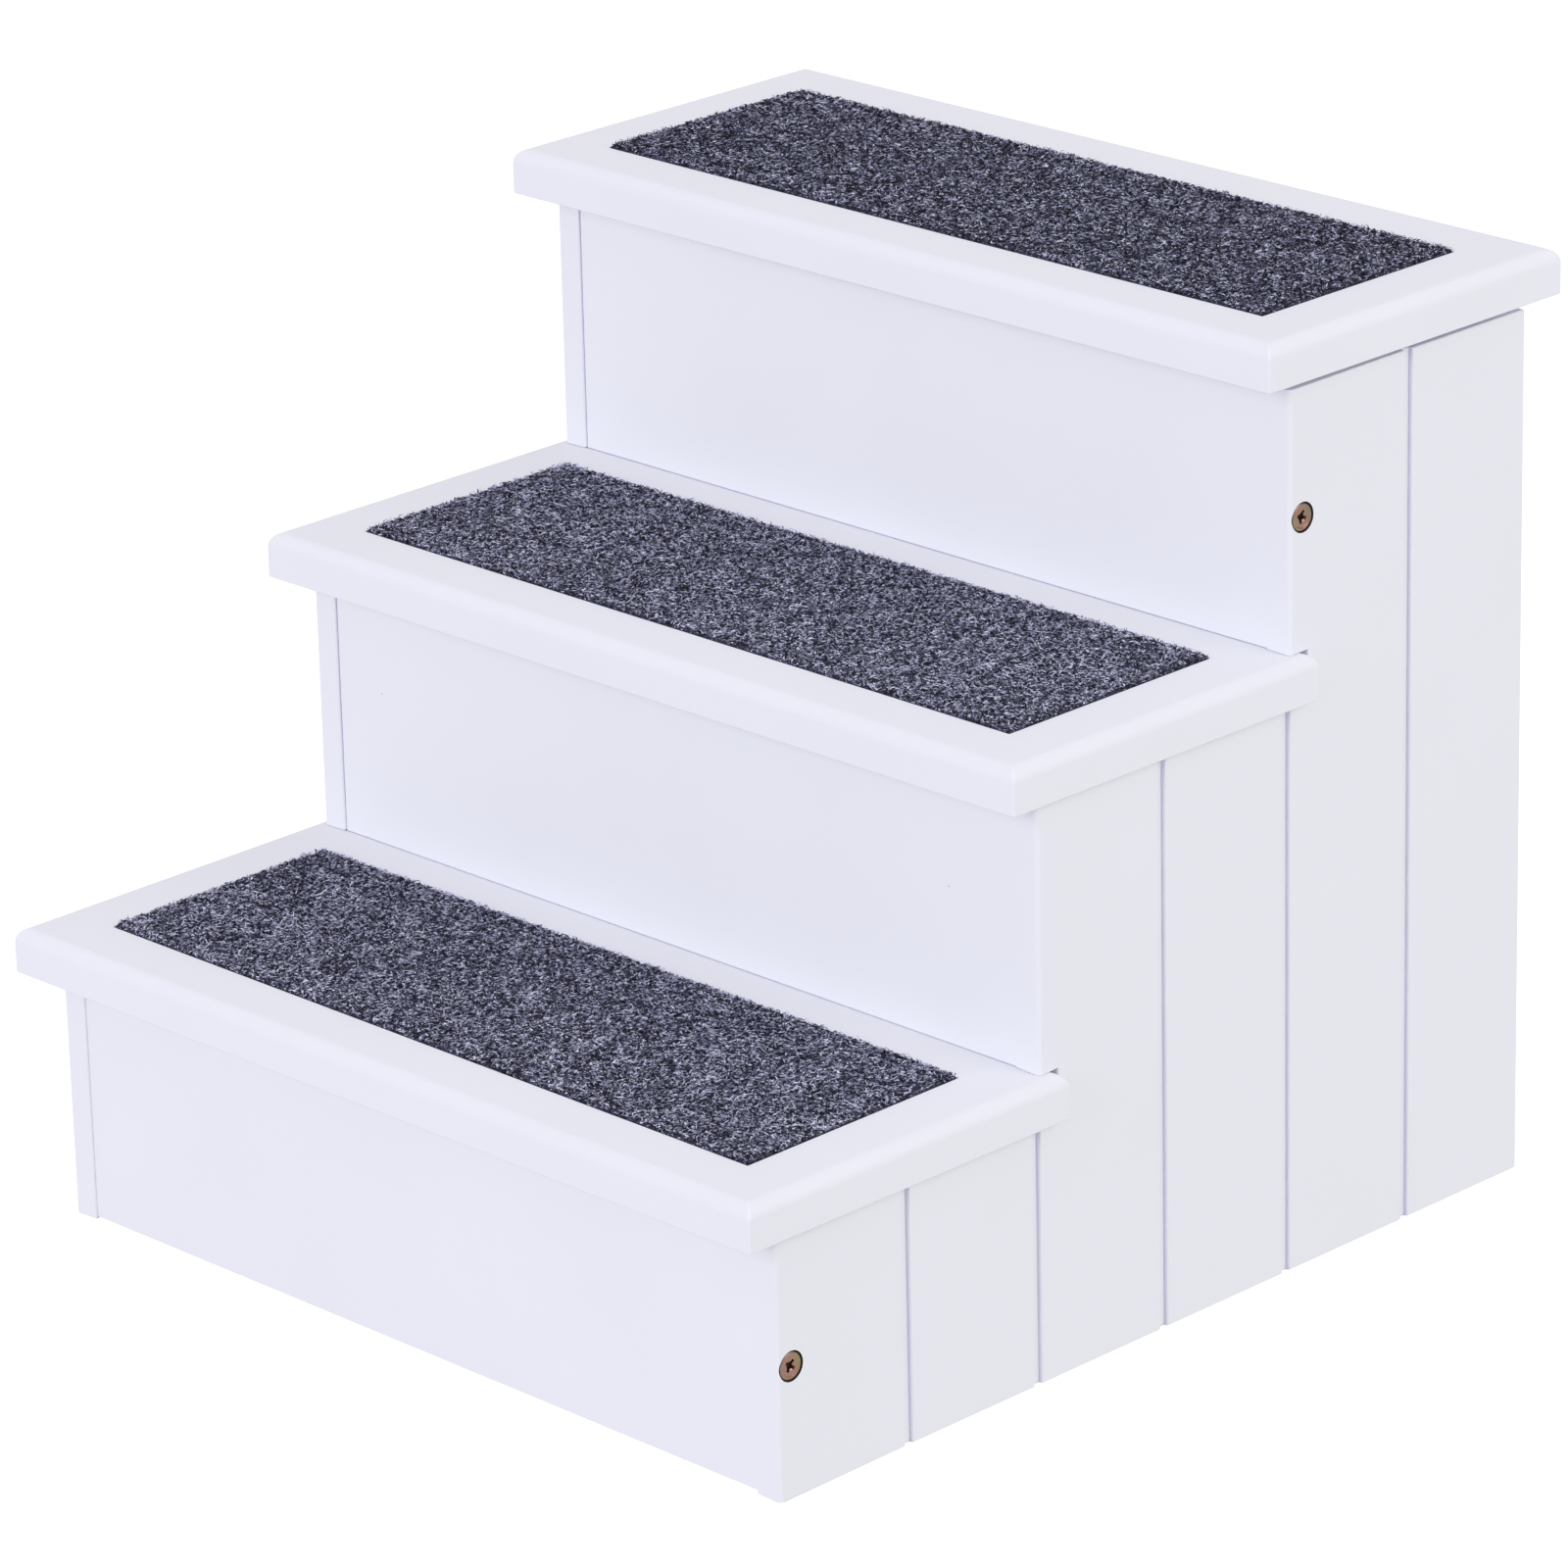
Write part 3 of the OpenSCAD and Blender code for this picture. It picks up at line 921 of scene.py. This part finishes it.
def make_pile(mat, step, layer):
    fibres, length, thickness, pile_height, parts = LAYERS[layer - 1]
    low, high = box_of(f"carpet_{step}")
    wood = box_of(f"tread_{step}")[1][2]
    strewn_area = (high[0] - low[0]) * (high[1] - low[1])
    return grow(f"carpet_{step}_pile_{layer}", mat.data.copy(), pile_tree, {
        "Fibres per square metre": fibres / strewn_area,
        "Fibre length": length,
        "Fibre thickness": thickness,
        "Pile height": pile_height,
        "Parts": parts,
        "Shade": PAINTED_SHADE_BY_STEP[step - 1],
        "Seed": 10 * step + layer,
        "Low corner": (low[0] - PILE_REACH, low[1] - PILE_REACH, wood + PILE_FOOT),
        "High corner": (high[0] + PILE_REACH, high[1] + PILE_REACH, wood + PILE_TOP),
    })


mats = [make_mat(step) for step in STEPS]
piles = [
    [make_pile(mat, step, layer) for layer in range(1, len(LAYERS) + 1)]
    for step, mat in enumerate(mats, 1)
]
for step_piles in piles:
    for piece in step_piles:
        triangles = sum(len(face.vertices) - 2 for face in piece.data.polygons)
        print(piece.name, triangles, "triangles, height", round(piece.dimensions.z / MM, 2), "mm")

# %% [markdown]
# ## Yellow zinc screws
#
# Steel screws get a thin zinc plating and a yellow passivation. On these it has gone brownish,
# with olive in one place and rose in the next. Only two heads show from the front right, each
# sunk a little below the paint in its own hole, and each rim is darkened: partly dirt, partly
# painted shade for the gap round the head. An attribute on the mesh says how far each spot is
# from the screw's axis, so that the material knows where the rim is.

# %% The zinc
BLOOM_WIDTH = 30 * MM
SCRATCH_WIDTH = 0.35 * MM
DIRT_AND_SHADE_RIM = (0.91, 0.96)  # shares of the head's radius, where the dirt and painted shade start and are full

zinc, tree, coordinates = new_material("yellow_passivated_zinc")
bloom = noise(tree, coordinates, BLOOM_WIDTH, 1.0)["Fac"]
plating = ramp(tree, bloom, [
    (0.30, "#665A4C"), (0.45, "#6E6448"), (0.58, "#7A5C50"), (0.72, "#5F5D4C"),
])
scratches = noise(tree, coordinates, SCRATCH_WIDTH, 2.0)["Fac"]
from_axis = add(tree, "ShaderNodeAttribute", {"attribute_name": "from_axis"}).outputs["Fac"]
close_material(tree, {
    # dirt and painted shade: the head's rim turns near black, for the shadowed gap round it
    "Base Color": mixed(tree, remap(tree, from_axis, DIRT_AND_SHADE_RIM), plating, linear("#1E1A15")),
    "Metallic": 1.0,
    "Roughness": remap(tree, scratches, (0.3, 0.7), (0.28, 0.45)),
})

print("zinc:", zinc.name)

# %% [markdown]
# ### The screw as Geometry Nodes
#
# One tree makes all three groups of screws from named sizes, so that a shorter or a thinner one
# is only another set of numbers. The helpers say in the tree what a drawing says: a size times a
# share, a sum, a part moved down its axis.

# %% Open the screw tree
screw_tree, given = open_tree("countersunk_screws", {
    "Head diameter": 11.0 * MM, "Shank diameter": 5.0 * MM, "Length": 50.0 * MM, "Seed": 1,
})
head_width, shank_width = given["Head diameter"], given["Shank diameter"]


def times(socket, factor):
    """A size times a plain number, in the screw tree."""
    return math_of(screw_tree, "MULTIPLY", socket, factor)


def plus(first, second):
    """The sum of two sizes, in the screw tree."""
    return math_of(screw_tree, "ADD", first, second)


def moved(mesh, moves):
    """A part of the screw, shifted, turned or scaled."""
    inputs = {"Geometry": mesh, **moves}
    return add(screw_tree, "GeometryNodeTransform", None, inputs).outputs["Geometry"]


def lowered(mesh, depth):
    """Moves a part of the screw down its axis by depth."""
    shift = add(screw_tree, "ShaderNodeCombineXYZ", None, {"Z": times(depth, -1.0)})
    return moved(mesh, {"Translation": shift.outputs["Vector"]})


def tapered(vertices, top, bottom, depth):
    """A round body whose radius runs from top to bottom. It stands on Z = 0."""
    return add(screw_tree, "GeometryNodeMeshCone", None, {
        "Vertices": vertices, "Radius Top": top, "Radius Bottom": bottom, "Depth": depth,
    }).outputs["Mesh"]


print("screw tree:", len(screw_tree.interface.items_tree), "sockets")

# %% [markdown]
# A countersunk head is a cone under a narrow rim. The rim's upper edge has a small chamfer, which
# catches the light as a thin ring. The three are joined into one body.

# %% The head
HEAD_PARTS, SHANK_PARTS = 48, 32  # sides of what is round
HEAD_RIM = 0.4 * MM
ROOT_SHARE = 0.72  # thread's root over its outer diameter
CHAMFER = 0.35 * MM
CHAMFER_SHARE = 0.88  # flat face of the head over its diameter

rim = add(screw_tree, "GeometryNodeMeshCylinder", None, {
    "Vertices": HEAD_PARTS, "Radius": times(head_width, 0.5), "Depth": HEAD_RIM,
}).outputs["Mesh"]
root_radius = times(shank_width, 0.5 * ROOT_SHARE)
cone_height = plus(times(head_width, 0.5), times(shank_width, -0.5))
cone = tapered(HEAD_PARTS, times(head_width, 0.5), root_radius, cone_height)
chamfer = tapered(
    HEAD_PARTS, times(head_width, CHAMFER_SHARE / 2), times(head_width, 0.5), CHAMFER
)
head = add(screw_tree, "GeometryNodeMeshBoolean", {"operation": "UNION", "solver": "EXACT"})
for part in (
    lowered(rim, CHAMFER + HEAD_RIM / 2),
    lowered(cone, plus(cone_height, CHAMFER + HEAD_RIM)),
    lowered(chamfer, CHAMFER),
):
    screw_tree.links.new(part, head.inputs["Mesh 2"])

# %% [markdown]
# A punch presses the cross recess into a real head. Here it is cut out with a boolean: a shallow
# dish, a countersunk ring, a round well, and two tapered bars that cross.

# %% The cross recess
CROSS_LENGTH_SHARE = 0.60
CROSS_WIDTH_SHARE = 0.15
CROSS_DEPTH_SHARE = 0.26
CROSS_TAPER = 0.60  # a bar's size at its foot over that at its top
CROSS_LIFT = 0.3 * MM
# round cuts in the head: shares of its diameter for the width above and below and the depth
DISH_SHARES = (0.80, 0.68, 0.018)
RING_SHARES = (0.44, 0.22, 0.06)
WELL_SHARES = (0.28, 0.10, 0.30)
OVERCUT = 0.05 * MM

cuts = []
for upper, lower, deep in (DISH_SHARES, RING_SHARES, WELL_SHARES):
    depth = times(head_width, deep)
    cut = tapered(
        SHANK_PARTS, times(head_width, upper / 2), times(head_width, lower / 2),
        plus(depth, OVERCUT),
    )
    cuts.append(lowered(cut, depth))
# a four sided cone that is turned by 45 degrees is a square bar, one unit wide with this radius
bar = tapered(4, 0.5 * math.sqrt(2.0), 0.5 * CROSS_TAPER * math.sqrt(2.0), 2.0)
upright = moved(bar, {"Translation": (0.0, 0.0, -1.0), "Rotation": (0.0, 0.0, math.pi / 4)})
sized = add(screw_tree, "ShaderNodeCombineXYZ", None, {
    "X": times(head_width, CROSS_LENGTH_SHARE),
    "Y": times(head_width, CROSS_WIDTH_SHARE),
    "Z": times(head_width, CROSS_DEPTH_SHARE),
})
flat_bar = moved(upright, {
    "Translation": (0.0, 0.0, CROSS_LIFT), "Scale": sized.outputs["Vector"],
})
for quarter_turn in (0.0, math.pi / 2):
    cuts.append(moved(flat_bar, {"Rotation": (0.0, 0.0, quarter_turn)}))
recessed = add(screw_tree, "GeometryNodeMeshBoolean", {
    "operation": "DIFFERENCE", "solver": "EXACT",
}, {"Mesh 1": head.outputs["Mesh"]})
for cut in cuts:
    screw_tree.links.new(cut, recessed.inputs["Mesh 2"])
print("cuts in the head:", len(cuts))

# %% [markdown]
# The thread is a triangle swept along a spiral, over a shank as thick as the thread's root. A
# slim cone makes the point. These parts only overlap, as no joint between them is ever seen.

# %% Shank, point and thread
POINT_LENGTH = 5.0 * MM
POINT_RADIUS = 0.15 * MM
PITCH_SHARE = 0.45  # thread's pitch over its outer diameter
THREAD_PARTS = 20  # of one turn

neck_depth = plus(cone_height, CHAMFER + HEAD_RIM)
shank_length = plus(given["Length"], times(plus(neck_depth, POINT_LENGTH), -1.0))
shank = add(screw_tree, "GeometryNodeMeshCylinder", None, {
    "Vertices": SHANK_PARTS, "Radius": root_radius, "Depth": shank_length,
})
tip = tapered(SHANK_PARTS, root_radius, POINT_RADIUS, POINT_LENGTH)
pitch = times(shank_width, PITCH_SHARE)
spiral = add(screw_tree, "GeometryNodeCurveSpiral", None, {
    "Resolution": THREAD_PARTS,
    "Rotations": math_of(screw_tree, "DIVIDE", shank_length, pitch),
    "Start Radius": root_radius,
    "End Radius": root_radius,
    "Height": shank_length,
})
ridge = add(screw_tree, "GeometryNodeCurvePrimitiveCircle", None, {
    "Resolution": 3, "Radius": times(shank_width, 0.5 * (1 - ROOT_SHARE)),
})
thread = add(screw_tree, "GeometryNodeCurveToMesh", None, {
    "Curve": spiral.outputs["Curve"],
    "Profile Curve": ridge.outputs["Curve"],
    "Fill Caps": True,
})
whole = add(screw_tree, "GeometryNodeJoinGeometry")
for part in (
    recessed.outputs["Mesh"],
    lowered(shank.outputs["Mesh"], plus(neck_depth, times(shank_length, 0.5))),
    lowered(tip, given["Length"]),
    lowered(thread.outputs["Mesh"], plus(neck_depth, shank_length)),
):
    screw_tree.links.new(part, whole.inputs["Geometry"])
print("a screw has", len(whole.inputs["Geometry"].links), "parts")

# %% [markdown]
# Points say where the heads lie, and an attribute on them says which way each one faces. Each
# screw also gets a random turn round its axis, because nobody lines up the crosses.

# %% A screw on every point
spot = add(screw_tree, "GeometryNodeInputPosition").outputs["Position"]
sideways_only = vector_math_of(screw_tree, "MULTIPLY", spot, (1.0, 1.0, 0.0))
off_axis = vector_math_of(screw_tree, "LENGTH", sideways_only)
measured = add(screw_tree, "GeometryNodeStoreNamedAttribute", {"data_type": "FLOAT"}, {
    "Geometry": whole.outputs["Geometry"],
    "Name": "from_axis",
    "Value": math_of(screw_tree, "DIVIDE", off_axis, times(head_width, 0.5)),
})
facing = add(screw_tree, "GeometryNodeInputNamedAttribute", {"data_type": "FLOAT_VECTOR"}, {
    "Name": "head_faces",
})
aimed = add(screw_tree, "FunctionNodeAlignRotationToVector", {"axis": "Z"}, {
    "Vector": facing.outputs["Attribute"],
})
spin = add(screw_tree, "FunctionNodeRandomValue", {"data_type": "FLOAT"}, {
    2: 0.0, 3: 2 * math.pi, "Seed": given["Seed"],
})
spun = add(screw_tree, "FunctionNodeAxisAngleToRotation", None, {
    "Axis": (0.0, 0.0, 1.0), "Angle": spin.outputs[1],
})
settled = add(screw_tree, "FunctionNodeRotateRotation", {"rotation_space": "LOCAL"}, {
    "Rotation": aimed.outputs["Rotation"], "Rotate By": spun.outputs["Rotation"],
})
screws_on_points = add(screw_tree, "GeometryNodeInstanceOnPoints", None, {
    "Points": given["Geometry"],
    "Instance": measured.outputs["Geometry"],
    "Rotation": settled.outputs["Rotation"],
})
close_tree(screw_tree, screws_on_points.outputs["Instances"], zinc)
print("screw tree:", len(screw_tree.nodes), "nodes")

# %% [markdown]
# ### Where the screws are
#
# Each group of screws is one solid node with several bodies. Their places follow from the boxes
# of the boards, risers and cleats around them, as in a drawing: the middle of a board's width,
# the middle of a riser's thickness, or a share of a cleat's length.

# %% Place the screws
HEAD_SINK = 0.25 * MM  # under the paint
RISER_SCREW_SHARE = 0.49  # of a riser's height
TREAD_SCREW_SHARES = (0.4, 0.9)  # of a cleat's length


def place_in(node, *shares):
    """A place in a solid's box, from shares of its size along X, Y and Z."""
    return [a + share * (b - a) for a, b, share in zip(*box_of(node), shares)]


def riser_screw_points():
    points = []
    for side, sign in SIDES:
        for step in (STEPS[0], STEPS[-1]):
            outer = place_in(f"{side}_board_1", sign > 0)[0]
            _, y, z = place_in(f"riser_{step}", 0.0, 0.5, RISER_SCREW_SHARE)
            points.append(((outer - sign * HEAD_SINK, y, z), (sign, 0, 0)))
    return points


def board_middle(board):
    """Middle of a side board's face along Y. A tongue in front of the face doesn't count."""
    low, high = box_of("right_board_1")
    back_edge = box_of(f"right_board_{board}")[1][1]
    return back_edge - (high[1] - low[1]) / 2


def cleat_screw_points():
    points = []
    for side, sign in SIDES:
        for board in BOARDS:
            for node in (f"{side}_batten", f"{side}_cleat_{(board + 1) // 2}"):
                inner, _, z = place_in(node, sign < 0, 0.0, 0.5)
                points.append(((inner, board_middle(board), z), (-sign, 0, 0)))
    return points


def tread_screw_points():
    return [
        (place_in(f"{side}_cleat_{step}", 0.5, share, 0.0), (0, 0, -1))
        for side, _ in SIDES
        for step in STEPS
        for share in TREAD_SCREW_SHARES
    ]


SCREW_SMOOTH_BELOW = 14.0  # degrees
# where each group's screws are, then their head, shank and length, and a seed for their turn
SCREW_GROUPS = {
    "riser_screws": (riser_screw_points, 11.3 * MM, 5.0 * MM, 50.0 * MM, 3),
    "cleat_screws": (cleat_screw_points, 6.5 * MM, 3.5 * MM, 25.0 * MM, 4),
    "tread_screws": (tread_screw_points, 6.5 * MM, 3.5 * MM, 29.0 * MM, 5),
}


def make_screws(name, points, head, shank, length, seed):
    cloud = bpy.data.meshes.new(name + "_points")
    cloud.from_pydata([place for place, facing in points], [], [])
    attribute = cloud.attributes.new("head_faces", "FLOAT_VECTOR", "POINT")
    for item, (place, facing) in zip(attribute.data, points):
        item.vector = facing
    piece = grow(name, cloud, screw_tree, {
        "Head diameter": head, "Shank diameter": shank, "Length": length, "Seed": seed,
    })
    return settle(piece, SCREW_SMOOTH_BELOW)


screw_groups = [
    make_screws(f"{group}_zinc", points(), *sizes)
    for group, (points, *sizes) in SCREW_GROUPS.items()
]
for piece in screw_groups:
    low = [round(min(c[i] for c in piece.bound_box) / MM, 1) for i in range(3)]
    high = [round(max(c[i] for c in piece.bound_box) / MM, 1) for i in range(3)]
    print(piece.name, len(piece.data.polygons), "faces, from", low, "to", high)

# %% [markdown]
# ### Bare wood round the large screws
#
# The sinkings for the large heads were drilled after the boards were painted, so their walls are
# bare and lie in shadow. They get a brown far darker than bare pine, as painted shade, and show
# as a thin dark ring round each head. The faces of a hole are found by how near they are to the
# screw's axis, and get a second material.

# %% Bare the drilled faces
SINKING_REACH = 6.1 * MM  # a little more than the radius of a sinking
SINKING_DEPTH = (0.02 * MM, 11 * MM)  # under the painted face
HOLE_TONE_WIDTH = 0.8 * MM

drilled_wood, tree, coordinates = new_material("scorched_wood_in_drilled_holes")
hole_tone = noise(tree, coordinates, HOLE_TONE_WIDTH, 3.0)["Fac"]
close_material(tree, {
    # painted shade: browns far darker than bare pine, for the shaded walls of the sinking
    "Base Color": ramp(tree, hole_tone, [(0.3, "#2A1E17"), (0.7, "#4F3B2A")]),
    "Roughness": 0.85,
})

bared = 0
for piece in side_boards:
    piece.data.materials.append(drilled_wood)
    for (x, y, z), (sign, _, _) in riser_screw_points():
        painted_face = x + sign * HEAD_SINK
        for face in piece.data.polygons:
            depth = (painted_face - face.center.x) * sign
            aside = math.hypot(face.center.y - y, face.center.z - z)
            if SINKING_DEPTH[0] < depth < SINKING_DEPTH[1] and aside < SINKING_REACH:
                face.material_index = 1
                bared += 1
print("bare faces in the drilled holes:", bared)

# %% [markdown]
# ## Dowels
#
# The dowels between the side boards and the risers are hidden once the stairs stand. Their
# solids are right as they are, so they only get a material, with the grain along the dowel.

# %% Dress the dowels
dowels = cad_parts["riser_dowels"]
dowels.data.materials.clear()
dowels.data.materials.append(dowel_wood)
print("dowels keep their solid, with", len(dowels.data.polygons), "faces")

# %% [markdown]
# ## Say what stands for what
#
# Nothing on the stairs moves, so every piece rides on the one body, the root. Each new piece
# stands for its solid, which is hidden. The carpets are cloth: each mat lies in its tread, with
# its fibres as pieces on it, and its flat size is printed.

# %% Ride and replace


def stands_for(piece, slot, *nodes):
    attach(piece, "root")
    if nodes:
        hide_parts(*nodes)


for step in STEPS:
    stands_for(treads[step - 1], "white_paint", f"tread_{step}")
    stands_for(risers[step - 1], "white_paint", f"riser_{step}")
    stands_for(mats[step - 1], "grey_felt", f"carpet_{step}")
    for piece in piles[step - 1]:
        stands_for(piece, "grey_felt")
for piece in side_boards:
    stands_for(piece, "white_paint", piece.name.replace("_painted", ""))
for piece in cleats + battens:
    stands_for(piece, "raw_pine", piece.name.replace("_planed", ""))
for piece in screw_groups:
    stands_for(piece, "yellow_zinc", piece.name.replace("_zinc", ""))

for mat, tread, step_piles in zip(mats, treads, piles):
    low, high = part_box(mat.name.replace("_mat", ""))
    cut = (high[0] - low[0], high[1] - low[1])
    print(mat.name, "is cut to", [round(v / MM, 1) for v in cut], "mm")
